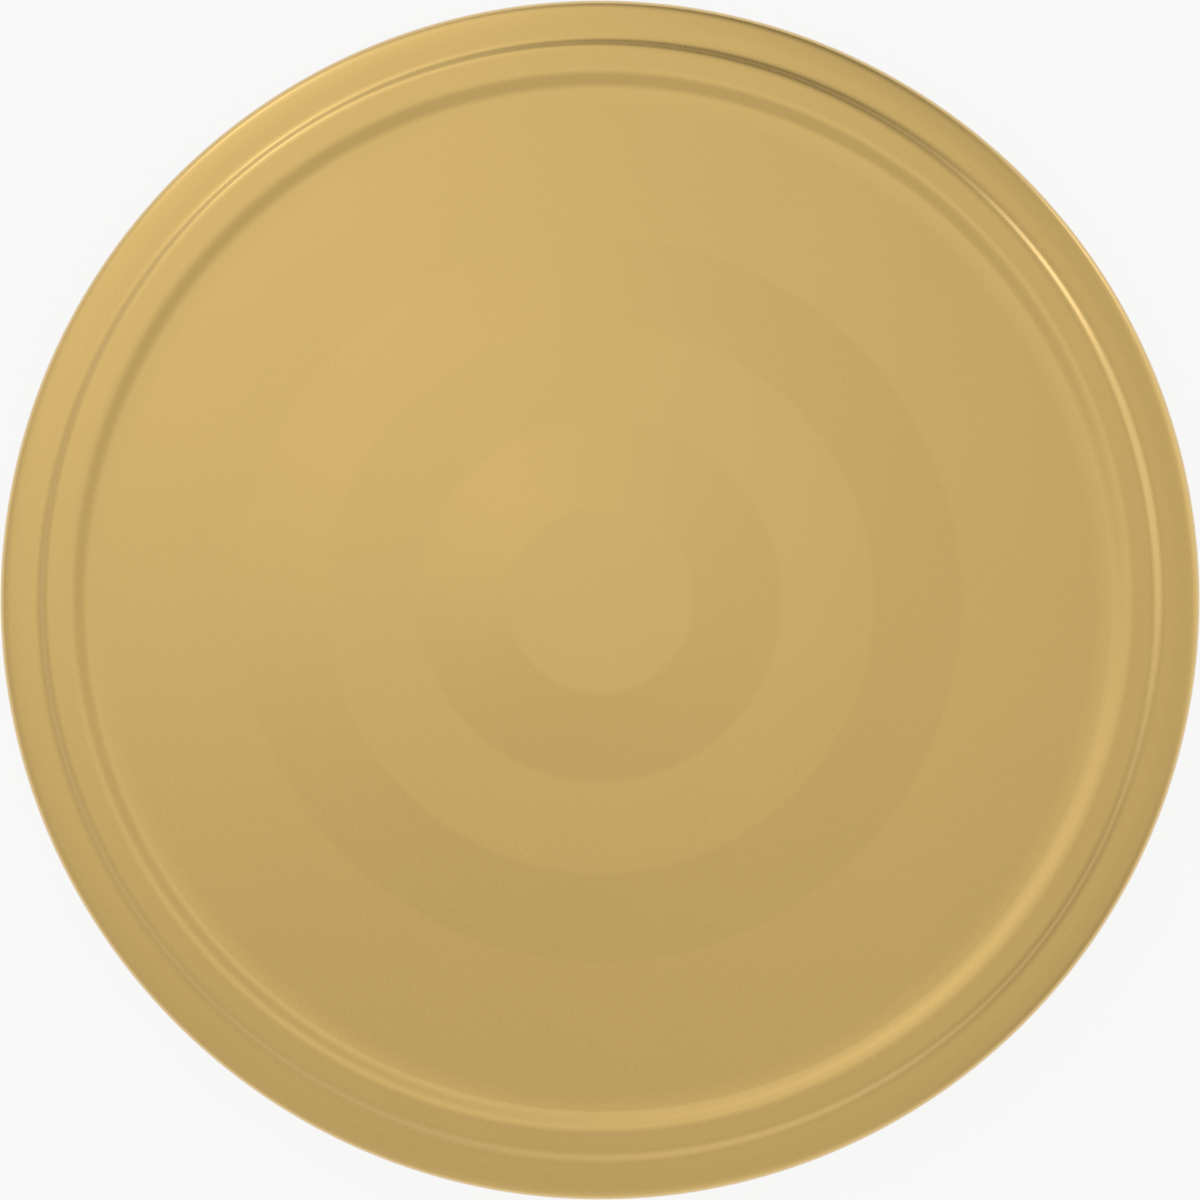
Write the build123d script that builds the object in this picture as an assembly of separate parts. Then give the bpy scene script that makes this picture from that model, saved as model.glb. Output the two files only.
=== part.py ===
from build123d import *
import math
import os

# Twist-off lid for a wide-mouth glass jar: one stamped tinplate sheet and a sealing ring cast into it.
# The lid stands on its rolled rim, top up, with the origin on its axis at the rim's lowest point.
# Lengths are in millimetres and angles in degrees. A level is a height above the origin.
# Radii and levels of the sheet belong to its outside face, and bend radii to its middle.

# Sheet
sheet = 0.20                 # tinplate with its lacquer

# Round bends and blends are drawn in few chords, which keeps the thin sheet's mesh light
bend_chord_count = 2         # in each bend of the corner and the lugs
blend_slice_count = 2        # in each blend between roll and lug

# Skirt and shoulder
skirt_radius = 42.80
shoulder_level = 9.53
corner_bend = 1.00           # between shoulder and skirt

# Step from the shoulder up to the rim face over the sealing channel
shoulder_width = 3.35        # from the skirt's outside to the middle of the step
shoulder_step_rise = 0.47
shoulder_step_slope = 34.0

# Step from the rim face down to the panel
channel_width = 2.70         # between the middles of the two steps
panel_step_fall = 0.42
panel_step_slope = 25.5

# Two pressed steps of the safety button, which stands up while the lid is off a jar
button_step_width = 6.25
outer_button_radius = 25.60  # foot of the outer step
outer_button_rise = 0.25
inner_button_radius = 12.83  # foot of the inner step
inner_button_rise = 0.31

# Rolled rim
roll_bend = 0.75
roll_bulge = 0.30            # how far the roll stands out past the skirt
roll_edge_gap = 0.15         # between the raw edge and the skirt

# Lugs, pressed from the rolled rim
lug_count = 6
lug_reach = 2.95             # from the skirt's outside in to the noses
lug_width = 8.0              # along the rim, at full reach
lug_blend = 3.6              # along the rim, from the roll to full reach
lug_corner_bend = 0.50       # at the foot of the skirt
lug_nose_bend = 0.30         # at the fold
lug_edge_gap = 0.35          # between the raw edge and the corner bend

# Sealing ring, cast into the channel
seal_inner_lap = 1.00        # inwards, past the middle of the panel step
seal_outer_lap = 0.30        # outwards, past the middle of the shoulder step
seal_depth = 0.95            # below the underside of the channel
seal_inner_slope = 1.00      # width of the slope from the panel to the ring's face
seal_outer_slope = 0.30

# Radii that follow
half = sheet / 2
skirt_middle = skirt_radius - half
shoulder_step_radius = skirt_radius - shoulder_width
panel_step_radius = shoulder_step_radius - channel_width
lug_circle = skirt_radius - lug_reach
seal_inner_radius = panel_step_radius - seal_inner_lap
seal_outer_radius = shoulder_step_radius + seal_outer_lap

# Levels that follow
rim_level = shoulder_level + shoulder_step_rise
panel_level = rim_level - panel_step_fall
ring_level = panel_level + outer_button_rise
button_level = ring_level + inner_button_rise
seal_level = rim_level - sheet - seal_depth

# Turns, counted from the outward side towards the top
full_turn = 360
top_turn = 90
foot_turn = -90

# Turns and places of the roll that follow: its lowest corner lies at the origin's level
roll_radius = skirt_middle + roll_bulge - roll_bend
roll_start = math.degrees(math.acos((skirt_middle - roll_radius + roll_bend) / (2 * roll_bend)))
roll_end = math.degrees(math.acos((skirt_middle - half - roll_edge_gap - roll_radius) / (roll_bend + half)))
roll_chord_count = 2 * bend_chord_count + 2
roll_chord_turn = (roll_end - full_turn - roll_start) / roll_chord_count
roll_turns = [math.radians(roll_start + roll_chord_turn * i) for i in range(1, roll_chord_count)]
roll_corner = roll_bend + half / math.cos(math.radians(roll_chord_turn / 2))
roll_level = max(-roll_corner * math.sin(turn) for turn in roll_turns)
flare_level = roll_level + 2 * roll_bend * math.sin(math.radians(roll_start))


def bend_points(centre, radius, start, sweep, count):
    """Ends of the chords that draw one round bend, from its start angle on."""
    angles = [math.radians(start + sweep * i / count) for i in range(count + 1)]
    return [(centre[0] + radius * math.cos(a), centre[1] + radius * math.sin(a)) for a in angles]


def sheet_outline(middle, arriving=None):
    """Corners of the sheet's section: half its thickness on each side of its middle line.
    The line's first cut is square to the direction in which the sheet arrives there."""
    line = [Vector(*point) for point in middle]
    steps = [(end - start).normalized() for start, end in zip(line, line[1:])]
    first = arriving or steps[0]
    left = []
    right = []
    for point, before, after in zip(line, [first, *steps], [first, *steps[1:], steps[-1]]):
        along = (before + after).normalized()
        across = Vector(-along.Y, along.X) * (half / along.dot(before))
        left.append(point + across)
        right.append(point - across)
    return [*left, *reversed(right)]


def section_face(outline):
    return Plane.XZ * make_face(Polyline(*outline, close=True))


def top_line():
    """Middle line of the stamped top, from the axis over the shoulder and down the skirt."""
    panel_step_reach = panel_step_fall / 2 / math.tan(math.radians(panel_step_slope))
    shoulder_step_reach = shoulder_step_rise / 2 / math.tan(math.radians(shoulder_step_slope))
    corner = (skirt_middle - corner_bend, shoulder_level - half - corner_bend)
    return [
        (0, button_level - half),
        (inner_button_radius - button_step_width, button_level - half),
        (inner_button_radius, ring_level - half),
        (outer_button_radius - button_step_width, ring_level - half),
        (outer_button_radius, panel_level - half),
        (panel_step_radius - panel_step_reach, panel_level - half),
        (panel_step_radius + panel_step_reach, rim_level - half),
        (shoulder_step_radius - shoulder_step_reach, rim_level - half),
        (shoulder_step_radius + shoulder_step_reach, shoulder_level - half),
        *bend_points(corner, corner_bend, top_turn, -top_turn, bend_chord_count),
        (skirt_middle, flare_level),
    ]


def middle_level(radius):
    """Level of the middle line at a radius under the top."""
    line = top_line()
    for (near, near_level), (far, far_level) in zip(line, line[1:]):
        if near <= radius < far:
            return near_level + (far_level - near_level) * (radius - near) / (far - near)


def rim_outline(press):
    """Section of the rim below the skirt: rolled where press is 0, folded to a lug where it is 1."""
    roll_sweep = roll_chord_turn * roll_chord_count
    roll = bend_points((roll_radius, roll_level), roll_bend, roll_start, roll_sweep, roll_chord_count)
    lean = math.radians(roll_start)
    corner = (roll[0][0] - lug_corner_bend * math.cos(lean), roll[0][1] - lug_corner_bend * math.sin(lean))
    floor = corner[1] - lug_corner_bend
    nose = (lug_circle + half + lug_nose_bend, floor + lug_nose_bend)
    tail = (corner[0] + lug_corner_bend - half - lug_edge_gap, floor + 2 * lug_nose_bend)
    lug = [
        *bend_points(corner, lug_corner_bend, roll_start, foot_turn - roll_start, bend_chord_count),
        *bend_points(nose, lug_nose_bend, foot_turn, -full_turn / 2, bend_chord_count),
        tail,
    ]
    line = [(a[0] + (b[0] - a[0]) * press, a[1] + (b[1] - a[1]) * press) for a, b in zip(roll, lug)]
    return sheet_outline([(skirt_middle, flare_level), *line], Vector(0, -1))


def rim_slice(near, far):
    """A short stretch of rim with flat three-cornered sides. Each end has its press and its turn."""
    rings = []
    for press, turn in (near, far):
        rings.append([Vector(point.X, 0, point.Y).rotate(Axis.Z, turn) for point in rim_outline(press)])
    outlines = [*rings]
    for i in range(len(rings[0])):
        outlines.append([rings[0][i - 1], rings[0][i], rings[1][i]])
        outlines.append([rings[0][i - 1], rings[1][i], rings[1][i - 1]])
    return Solid(Shell([Face(Wire.make_polygon(outline)) for outline in outlines]))


def rim_pieces():
    """One pitch of the rim: a rolled stretch, and a lug whose sides blend into the roll."""
    lug_side = math.degrees(lug_width / roll_radius) / 2
    blend_turn = math.degrees(lug_blend / roll_radius)
    roll_side = lug_side + blend_turn
    roll = revolve(section_face(rim_outline(0)), Axis.Z, full_turn / lug_count - 2 * roll_side)
    pieces = [Rot(Z=roll_side) * roll]
    stations = [(1, 0)]
    for i in range(blend_slice_count + 1):
        share = i / blend_slice_count
        stations.append(((1 + math.cos(math.pi * share)) / 2, lug_side + blend_turn * share))
    for near, far in zip(stations, stations[1:]):
        pieces.append(rim_slice(near, far))
        pieces.append(rim_slice((far[0], -far[1]), (near[0], -near[1])))
    return pieces


def make_lid_shell():
    """The stamped sheet in one piece."""
    top = revolve(section_face(sheet_outline(top_line())), Axis.Z, full_turn)
    pitch = full_turn / lug_count
    rim = [Rot(Z=pitch * i) * piece for i in range(lug_count) for piece in rim_pieces()]
    return top.fuse(*rim)


def make_sealing_ring():
    """The cast ring: it fills the channel and takes its upper side from the sheet."""
    channel = [point for point in top_line() if seal_inner_radius < point[0] < seal_outer_radius]
    blank = section_face([
        (seal_inner_radius, middle_level(seal_inner_radius)),
        *channel,
        (seal_outer_radius, middle_level(seal_outer_radius)),
        (seal_outer_radius - seal_outer_slope, seal_level),
        (seal_inner_radius + seal_inner_slope, seal_level),
    ])
    return revolve(blank - section_face(sheet_outline(top_line())), Axis.Z, full_turn)


os.makedirs("parts", exist_ok=True)
export_step(make_lid_shell(), "parts/lid_shell.step")
export_step(make_sealing_ring(), "parts/sealing_ring.step")
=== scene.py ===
import math

import bmesh
import bpy
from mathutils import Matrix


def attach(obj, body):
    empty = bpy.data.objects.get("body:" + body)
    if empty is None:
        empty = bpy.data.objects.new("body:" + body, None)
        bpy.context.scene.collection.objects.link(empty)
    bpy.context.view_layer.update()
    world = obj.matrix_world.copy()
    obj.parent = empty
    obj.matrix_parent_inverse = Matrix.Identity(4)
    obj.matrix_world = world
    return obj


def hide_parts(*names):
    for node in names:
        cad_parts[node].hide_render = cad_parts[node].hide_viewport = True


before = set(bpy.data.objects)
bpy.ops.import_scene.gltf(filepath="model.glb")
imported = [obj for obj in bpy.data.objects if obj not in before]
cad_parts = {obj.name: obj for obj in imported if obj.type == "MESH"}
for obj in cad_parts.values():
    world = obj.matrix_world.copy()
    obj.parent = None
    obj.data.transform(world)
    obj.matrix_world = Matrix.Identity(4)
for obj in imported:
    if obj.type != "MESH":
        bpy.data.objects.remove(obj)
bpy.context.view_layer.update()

# Lengths are in metres, angles in degrees. Radii and levels belong to the sheet's outside face.
mm = 0.001

# Sheet and the steps in its top, from the axis outwards
sheet = 0.20 * mm
button_level = 10.14 * mm
button_step_width = 6.25 * mm
inner_button_radius = 12.83 * mm
ring_level = 9.83 * mm
outer_button_radius = 25.60 * mm
panel_level = 9.58 * mm
button_bend = 7.0 * mm
dish_radius = 35.60 * mm
dish_bend = 12.0 * mm
panel_step_foot = 36.49 * mm
panel_step_foot_level = 9.663 * mm
panel_step_head = 37.20 * mm
panel_step_bend = 1.80 * mm
rim_level = 10.00 * mm
shoulder_step_radius = 39.43 * mm
shoulder_step_slope = 34.5
shoulder_step_bend = 0.85 * mm
shoulder_level = 9.53 * mm
droop_radius = 41.25 * mm
droop_slope = 8.5
droop_bend = 7.0 * mm
corner_bend = 1.10 * mm
skirt_radius = 42.80 * mm

# Rolled rim
roll_bend = 0.85 * mm
roll_bulge = 0.25 * mm
roll_end = 76.4

# Lugs pressed from the rolled rim
lug_count = 6
lug_circle = 39.85 * mm
lug_bulge = 0.18 * mm
lug_width = 8.0 * mm
lug_blend = 3.6 * mm
lug_corner_bend = 0.60 * mm
lug_nose_bend = 0.40 * mm
lug_floor_level = 0.40 * mm
lug_edge_radius = 42.30 * mm

# Sealing ring cast under the channel, sunk a little into the sheet so that no gap shows
seal_inner_radius = 35.75 * mm
seal_outer_radius = 39.75 * mm
seal_inner_slope = 1.00 * mm
seal_outer_slope = 0.30 * mm
seal_level = 8.85 * mm
seal_bend = 0.28 * mm
seal_sink = 0.08 * mm

# Steps of the meshes
turn_steps = 420
bend_turn = 7.0
roll_steps = 24
flat_guard = 0.06 * mm

# Camera, straight above the lid
camera_height = 129.0 * mm
outline_radius = 42.74 * mm
outline_level = 8.72 * mm
outline_share = 599.7 / 600

# Radii and angles that follow
flare_bend = roll_bend - sheet
roll_radius = skirt_radius + roll_bulge - roll_bend
roll_start = math.degrees(math.acos((skirt_radius + flare_bend - roll_radius) / (roll_bend + flare_bend)))
flare_level = roll_bend + (roll_bend + flare_bend) * math.sin(math.radians(roll_start))


def arc_points(centre, radius, start, sweep, count):
    """Points on an arc in the section, (radius, level), from its start angle on."""
    angles = [math.radians(start + sweep * i / count) for i in range(count + 1)]
    return [(centre[0] + radius * math.cos(a), centre[1] + radius * math.sin(a)) for a in angles]


def rounded_outline(corners):
    """An open outline through the corners, (radius, level, bend), with an arc in place of each corner.
    Where the straight stretch beside an arc is long, a point keeps it flat under smooth shading."""
    outline = [corners[0][:2]]
    room_before = math.dist(corners[0][:2], corners[1][:2])
    for before, corner, after in zip(corners, corners[1:], corners[2:]):
        arriving = math.atan2(corner[1] - before[1], corner[0] - before[0])
        leaving = math.atan2(after[1] - corner[1], after[0] - corner[0])
        turn = leaving - arriving
        side = math.copysign(1, turn)
        reach = corner[2] * abs(math.tan(turn / 2))
        guard = reach + flat_guard
        count = max(2, math.ceil(abs(math.degrees(turn)) / bend_turn))
        start = (corner[0] - reach * math.cos(arriving), corner[1] - reach * math.sin(arriving))
        centre = (
            start[0] - side * corner[2] * math.sin(arriving),
            start[1] + side * corner[2] * math.cos(arriving),
        )
        first = math.degrees(arriving) - 90 * side
        room_after = math.dist(corner[:2], after[:2]) - reach
        if room_before - reach > 4 * flat_guard:
            outline.append((corner[0] - guard * math.cos(arriving), corner[1] - guard * math.sin(arriving)))
        outline += arc_points(centre, corner[2], first, math.degrees(turn), count)
        next_reach = room_after / 2
        if next_reach > 4 * flat_guard:
            outline.append((corner[0] + guard * math.cos(leaving), corner[1] + guard * math.sin(leaving)))
        room_before = room_after
    return outline + [corners[-1][:2]]


def top_outline():
    """Outside face of the stamped top, from the axis to the foot of the skirt."""
    step_reach = (rim_level - shoulder_level) / 2 / math.tan(math.radians(shoulder_step_slope))
    droop = (skirt_radius - droop_radius) * math.tan(math.radians(droop_slope))
    return rounded_outline(
        [
            (0, button_level, 0),
            (inner_button_radius - button_step_width, button_level, button_bend),
            (inner_button_radius, ring_level, button_bend),
            (outer_button_radius - button_step_width, ring_level, button_bend),
            (outer_button_radius, panel_level, button_bend),
            (dish_radius, panel_level, dish_bend),
            (panel_step_foot, panel_step_foot_level, panel_step_bend),
            (panel_step_head, rim_level, panel_step_bend),
            (shoulder_step_radius - step_reach, rim_level, shoulder_step_bend),
            (shoulder_step_radius + step_reach, shoulder_level, shoulder_step_bend),
            (droop_radius, shoulder_level, droop_bend),
            (skirt_radius, shoulder_level - droop, corner_bend),
            (skirt_radius, flare_level, 0),
        ]
    )


def rolled_outline():
    """Outside face of the rolled rim, from its flare to the raw edge."""
    return arc_points((roll_radius, roll_bend), roll_bend, roll_start, roll_end - 360 - roll_start, roll_steps)


def lug_outline():
    """Outside face of a lug, with as many points as the rolled rim."""
    quarter = roll_steps // 4
    corner = (skirt_radius + lug_bulge - lug_corner_bend, lug_floor_level + lug_corner_bend)
    nose = (lug_circle + lug_nose_bend, lug_floor_level + lug_nose_bend)
    outline = arc_points(corner, lug_corner_bend, roll_start, -90 - roll_start, quarter)
    for i in range(1, quarter):
        share = i / quarter
        outline.append((corner[0] + (nose[0] - corner[0]) * share, lug_floor_level))
    outline += arc_points(nose, lug_nose_bend, -90, -180, quarter)
    for i in range(1, quarter + 1):
        share = i / quarter
        outline.append((nose[0] + (lug_edge_radius - nose[0]) * share, lug_floor_level + 2 * lug_nose_bend))
    return outline


def seal_outline():
    """Closed section of the sealing ring: its free side, then its back inside the sheet."""
    sunk = sheet - seal_sink
    top = top_outline()
    back = [(r, level - sunk) for r, level in top if seal_inner_radius < r < seal_outer_radius]
    free = rounded_outline(
        [
            (seal_inner_radius, back[0][1], 0),
            (seal_inner_radius + seal_inner_slope, seal_level, seal_bend),
            (seal_outer_radius - seal_outer_slope, seal_level, seal_bend),
            (seal_outer_radius, back[-1][1], 0),
        ]
    )
    return [*free, *reversed(back)]


def lug_press(x, y):
    """How far the rim is pressed to a lug at a place round the lid: 0 on the roll, 1 on a lug."""
    pitch = 2 * math.pi / lug_count
    turn = math.atan2(y, x) % pitch
    off_lug = min(turn, pitch - turn) * roll_radius - lug_width / 2
    share = min(max(off_lug / lug_blend, 0), 1)
    return (1 + math.cos(math.pi * share)) / 2


def new_piece(name, bm, materials):
    mesh = bpy.data.meshes.new(name)
    bm.to_mesh(mesh)
    bm.free()
    piece = bpy.data.objects.new(name, mesh)
    bpy.context.scene.collection.objects.link(piece)
    for material in materials:
        mesh.materials.append(material)
    return piece


def spun_section(outline, closed):
    """Spins an outline of (radius, level) points once round the lid's axis."""
    bm = bmesh.new()
    step = bm.verts.layers.int.new("rim_step")
    verts = [bm.verts.new((radius, 0, level)) for radius, level in outline]
    for i, vert in enumerate(verts):
        vert[step] = i
    edges = [bm.edges.new(pair) for pair in zip(verts, verts[1:])]
    if closed:
        edges.append(bm.edges.new((verts[-1], verts[0])))
    bmesh.ops.spin(
        bm, geom=verts + edges, cent=(0, 0, 0), axis=(0, 0, 1), angle=2 * math.pi, steps=turn_steps, use_merge=True
    )
    bmesh.ops.remove_doubles(bm, verts=bm.verts, dist=1e-7)
    bmesh.ops.recalc_face_normals(bm, faces=bm.faces)
    for face in bm.faces:
        face.smooth = True
    return bm


def make_lid_shell():
    """The stamped sheet: spun with a plain rolled rim, then pressed to lugs."""
    top = top_outline()
    flare = arc_points((skirt_radius + flare_bend, flare_level), flare_bend, 180, roll_start, 5)
    rolled = rolled_outline()
    lug = lug_outline()
    before_roll = len(top) + len(flare) - 2
    bm = spun_section([*top, *flare[1:-1], *rolled], closed=False)
    step = bm.verts.layers.int["rim_step"]
    for vert in bm.verts:
        place = vert[step] - before_roll
        if place < 0:
            continue
        press = lug_press(vert.co.x, vert.co.y)
        out = vert.co.xy.normalized()
        radius = rolled[place][0] + (lug[place][0] - rolled[place][0]) * press
        level = rolled[place][1] + (lug[place][1] - rolled[place][1]) * press
        vert.co = (out.x * radius, out.y * radius, level)
    piece = new_piece("pressed_lid", bm, [outer_lacquer(), inner_lacquer(), cut_edge()])
    wall = piece.modifiers.new("sheet", "SOLIDIFY")
    wall.thickness = sheet
    wall.offset = -1
    wall.use_even_offset = True
    wall.material_offset = 1
    wall.material_offset_rim = 2
    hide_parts("lid_shell")
    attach(piece, "root")


def make_sealing_ring():
    piece = new_piece("cast_ring", spun_section(seal_outline(), closed=True), [plastisol()])
    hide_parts("sealing_ring")
    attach(piece, "root")


def new_group(name, inputs, outputs):
    """An empty node group with float and vector sockets, and its two end nodes."""
    tree = bpy.data.node_groups.new(name, "ShaderNodeTree")
    for socket, kind in inputs:
        tree.interface.new_socket(socket, in_out="INPUT", socket_type=kind)
    for socket, kind in outputs:
        tree.interface.new_socket(socket, in_out="OUTPUT", socket_type=kind)
    return tree, tree.nodes.new("NodeGroupInput"), tree.nodes.new("NodeGroupOutput")


def value_node(tree, operation, *inputs):
    """A math node. Each input is a socket to link or a plain number."""
    node = tree.nodes.new("ShaderNodeMath")
    node.operation = operation
    for socket, source in zip(node.inputs, inputs):
        if isinstance(source, (int, float)):
            socket.default_value = source
        else:
            tree.links.new(source, socket)
    return node.outputs["Value"]


def noise_node(tree, vector, scale, detail):
    node = tree.nodes.new("ShaderNodeTexNoise")
    node.inputs["Scale"].default_value = scale
    node.inputs["Detail"].default_value = detail
    tree.links.new(vector, node.inputs["Vector"])
    return node.outputs["Fac"]


def scaled_vector(tree, vector, scale):
    node = tree.nodes.new("ShaderNodeVectorMath")
    node.operation = "MULTIPLY"
    node.inputs[1].default_value = scale
    tree.links.new(vector, node.inputs[0])
    return node.outputs["Vector"]


def rolled_sheet_group():
    """Fine straight grain of the rolled sheet and a slow unevenness, both about 0.
    They are laid out on the flat blank, so they run on down the drawn skirt."""
    float_socket = "NodeSocketFloat"
    tree, _, out = new_group("rolled_sheet", [], [("Streak", float_socket), ("Cloud", float_socket)])
    place = tree.nodes.new("ShaderNodeTexCoord").outputs["Object"]
    parts = tree.nodes.new("ShaderNodeSeparateXYZ")
    tree.links.new(place, parts.inputs["Vector"])
    across = value_node(tree, "MULTIPLY", parts.outputs["X"], parts.outputs["X"])
    along = value_node(tree, "MULTIPLY", parts.outputs["Y"], parts.outputs["Y"])
    radius = value_node(tree, "SQRT", value_node(tree, "ADD", across, along))
    depth = value_node(tree, "SUBTRACT", shoulder_level, parts.outputs["Z"])
    drawn = value_node(tree, "MAXIMUM", depth, 0.0)
    stretch = value_node(tree, "ADD", 1.0, value_node(tree, "DIVIDE", drawn, radius))
    blank = tree.nodes.new("ShaderNodeCombineXYZ")
    tree.links.new(value_node(tree, "MULTIPLY", parts.outputs["X"], stretch), blank.inputs["X"])
    tree.links.new(value_node(tree, "MULTIPLY", parts.outputs["Y"], stretch), blank.inputs["Y"])
    fine = noise_node(tree, scaled_vector(tree, blank.outputs["Vector"], (9000, 1700, 0)), 1.0, 1.0)
    slow = noise_node(tree, scaled_vector(tree, blank.outputs["Vector"], (120, 60, 0)), 1.0, 2.0)
    tree.links.new(value_node(tree, "SUBTRACT", fine, 0.5), out.inputs["Streak"])
    tree.links.new(value_node(tree, "SUBTRACT", slow, 0.5), out.inputs["Cloud"])
    return tree


rolled_sheet = rolled_sheet_group()


def new_material(name):
    material = bpy.data.materials.new(name)
    material.use_nodes = True
    return material, material.node_tree, material.node_tree.nodes["Principled BSDF"]


def tinted(tree, colour, variation):
    """The colour times 1 + variation."""
    factor = value_node(tree, "ADD", 1.0, variation)
    node = tree.nodes.new("ShaderNodeVectorMath")
    node.operation = "SCALE"
    node.inputs[0].default_value = colour
    tree.links.new(factor, node.inputs["Scale"])
    return node.outputs["Vector"]


def lacquered(name, colour, roughness, coat_roughness, streak_share):
    """Clear gold lacquer over the rolled grain of the tinplate."""
    material, tree, shader = new_material(name)
    grain = tree.nodes.new("ShaderNodeGroup")
    grain.node_tree = rolled_sheet
    streak = value_node(tree, "MULTIPLY", grain.outputs["Streak"], streak_share)
    cloud = value_node(tree, "MULTIPLY", grain.outputs["Cloud"], 0.04)
    tree.links.new(tinted(tree, colour, value_node(tree, "ADD", streak, cloud)), shader.inputs["Base Color"])
    rough = value_node(tree, "MULTIPLY_ADD", grain.outputs["Streak"], 0.10, roughness)
    tree.links.new(rough, shader.inputs["Roughness"])
    shader.inputs["Metallic"].default_value = 1
    shader.inputs["Coat Weight"].default_value = 1
    shader.inputs["Coat Roughness"].default_value = coat_roughness
    return material


def outer_lacquer():
    return lacquered("outer_lacquer", (0.700, 0.468, 0.137), 0.27, 0.12, 0.10)


def inner_lacquer():
    return lacquered("inner_lacquer", (0.640, 0.420, 0.120), 0.22, 0.08, 0.08)


def cut_edge():
    """Bare steel where the blank was cut, with a thin tin smear."""
    material, tree, shader = new_material("cut_edge")
    place = tree.nodes.new("ShaderNodeTexCoord").outputs["Object"]
    burr = noise_node(tree, place, 3000, 2.0)
    variation = value_node(tree, "MULTIPLY_ADD", burr, 0.4, -0.2)
    tree.links.new(tinted(tree, (0.56, 0.55, 0.53), variation), shader.inputs["Base Color"])
    tree.links.new(value_node(tree, "MULTIPLY_ADD", burr, 0.2, 0.3), shader.inputs["Roughness"])
    shader.inputs["Metallic"].default_value = 1
    return material


def plastisol():
    """Soft pale sealing compound, cast and cured."""
    material, tree, shader = new_material("plastisol")
    place = tree.nodes.new("ShaderNodeTexCoord").outputs["Object"]
    flow = noise_node(tree, place, 160, 3.0)
    variation = value_node(tree, "MULTIPLY_ADD", flow, 0.08, -0.04)
    tree.links.new(tinted(tree, (0.70, 0.66, 0.57), variation), shader.inputs["Base Color"])
    tree.links.new(value_node(tree, "MULTIPLY_ADD", flow, 0.12, 0.36), shader.inputs["Roughness"])
    return material


def make_floor():
    """Pale floor, white to the camera and in reflections, that keeps the lid's shadow."""
    material, tree, shader = new_material("pale_floor")
    path = tree.nodes.new("ShaderNodeLightPath")
    seen = value_node(tree, "MAXIMUM", path.outputs["Is Camera Ray"], path.outputs["Is Glossy Ray"])
    seen = value_node(tree, "MAXIMUM", seen, path.outputs["Is Transmission Ray"])
    place = tree.nodes.new("ShaderNodeTexCoord").outputs["Object"]
    mottle = value_node(tree, "MULTIPLY_ADD", noise_node(tree, place, 40, 2.0), 0.02, -0.01)
    tree.links.new(tinted(tree, (0.86, 0.86, 0.86), mottle), shader.inputs["Base Color"])
    shader.inputs["Roughness"].default_value = 1
    shader.inputs["Specular IOR Level"].default_value = 0
    white = tree.nodes.new("ShaderNodeEmission")
    mix = tree.nodes.new("ShaderNodeMixShader")
    tree.links.new(value_node(tree, "MULTIPLY", seen, 0.85), mix.inputs["Fac"])
    tree.links.new(shader.outputs["BSDF"], mix.inputs[1])
    tree.links.new(white.outputs["Emission"], mix.inputs[2])
    tree.links.new(mix.outputs["Shader"], tree.nodes["Material Output"].inputs["Surface"])
    bm = bmesh.new()
    bmesh.ops.create_grid(bm, x_segments=1, y_segments=1, size=2.0)
    new_piece("floor", bm, [material])


def soft_light_group():
    """Adds one soft light to the studio's brightness, by how near a direction is to the light's middle."""
    float_socket = "NodeSocketFloat"
    inputs = [("Light so far", float_socket), ("Towards", "NodeSocketVector")]
    inputs += [("Sharpness", float_socket), ("Strength", float_socket)]
    tree, start, out = new_group("soft_light", inputs, [("Light", float_socket)])
    near = tree.nodes.new("ShaderNodeVectorMath")
    near.operation = "DOT_PRODUCT"
    tree.links.new(tree.nodes.new("ShaderNodeTexCoord").outputs["Generated"], near.inputs[0])
    tree.links.new(start.outputs["Towards"], near.inputs[1])
    off = value_node(tree, "SUBTRACT", near.outputs["Value"], 1.0)
    fall = value_node(tree, "EXPONENT", value_node(tree, "MULTIPLY", off, start.outputs["Sharpness"]))
    light = value_node(tree, "MULTIPLY_ADD", fall, start.outputs["Strength"], start.outputs["Light so far"])
    tree.links.new(light, out.inputs["Light"])
    return tree


soft_light = soft_light_group()


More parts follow.
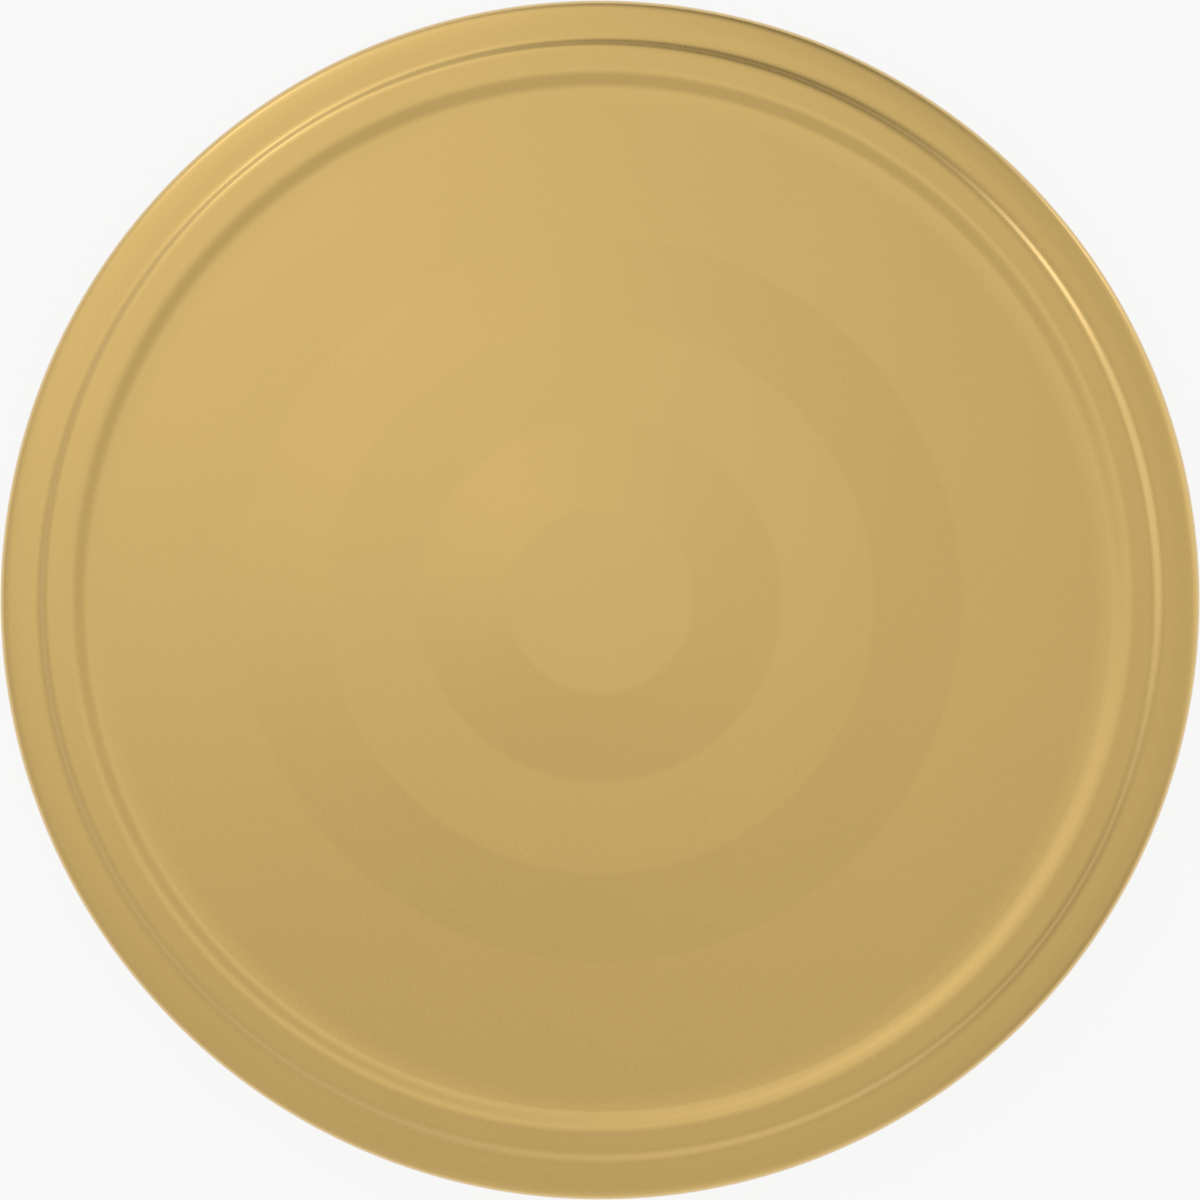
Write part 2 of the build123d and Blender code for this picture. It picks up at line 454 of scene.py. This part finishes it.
def make_studio():
    """A grey studio with a few soft lights and dark walls round the lid."""
    world = bpy.data.worlds.new("studio")
    bpy.context.scene.world = world
    world.use_nodes = True
    tree = world.node_tree
    light = 0.657

    def add_light(azimuth, elevation, half_width, strength):
        nonlocal light
        node = tree.nodes.new("ShaderNodeGroup")
        node.node_tree = soft_light
        turn = math.radians(azimuth)
        rise = math.radians(elevation)
        towards = (math.cos(rise) * math.cos(turn), math.cos(rise) * math.sin(turn), math.sin(rise))
        node.inputs["Towards"].default_value = towards
        node.inputs["Sharpness"].default_value = 1 / (1 - math.cos(math.radians(half_width)))
        node.inputs["Strength"].default_value = strength
        if isinstance(light, float):
            node.inputs["Light so far"].default_value = light
        else:
            tree.links.new(light, node.inputs["Light so far"])
        light = node.outputs["Light"]

    # Softbox beyond the lid's upper left, and its bright lower edge
    add_light(azimuth=112, elevation=35, half_width=34, strength=0.80)
    add_light(azimuth=126, elevation=21, half_width=8.5, strength=1.08)
    # Window low at the right, and its glow
    add_light(azimuth=36, elevation=1, half_width=7.2, strength=1.88)
    add_light(azimuth=22, elevation=6, half_width=44, strength=0.57)
    # Dark wall between the two
    add_light(azimuth=75, elevation=13, half_width=45, strength=-0.72)
    # Pale wall below the lid's lower edge, darker to its right
    add_light(azimuth=297, elevation=6, half_width=37, strength=0.27)
    add_light(azimuth=325, elevation=19, half_width=30, strength=-0.38)
    # Ceiling
    add_light(azimuth=206, elevation=78, half_width=16, strength=-0.15)
    add_light(azimuth=170, elevation=71, half_width=17, strength=0.23)
    add_light(azimuth=60, elevation=87, half_width=14, strength=0.23)
    tree.links.new(value_node(tree, "MAXIMUM", light, 0.04), tree.nodes["Background"].inputs["Color"])


make_lid_shell()
make_sealing_ring()
make_floor()
make_studio()

camera = bpy.data.objects.new("camera", bpy.data.cameras.new("camera"))
bpy.context.scene.collection.objects.link(camera)
bpy.context.scene.camera = camera
camera.location = (0, 0, camera_height)
camera.data.sensor_fit = "HORIZONTAL"
camera.data.angle = 2 * math.atan(outline_radius / (camera_height - outline_level) / outline_share)
camera.data.clip_start = 0.01

bpy.context.scene.view_settings.view_transform = "Standard"
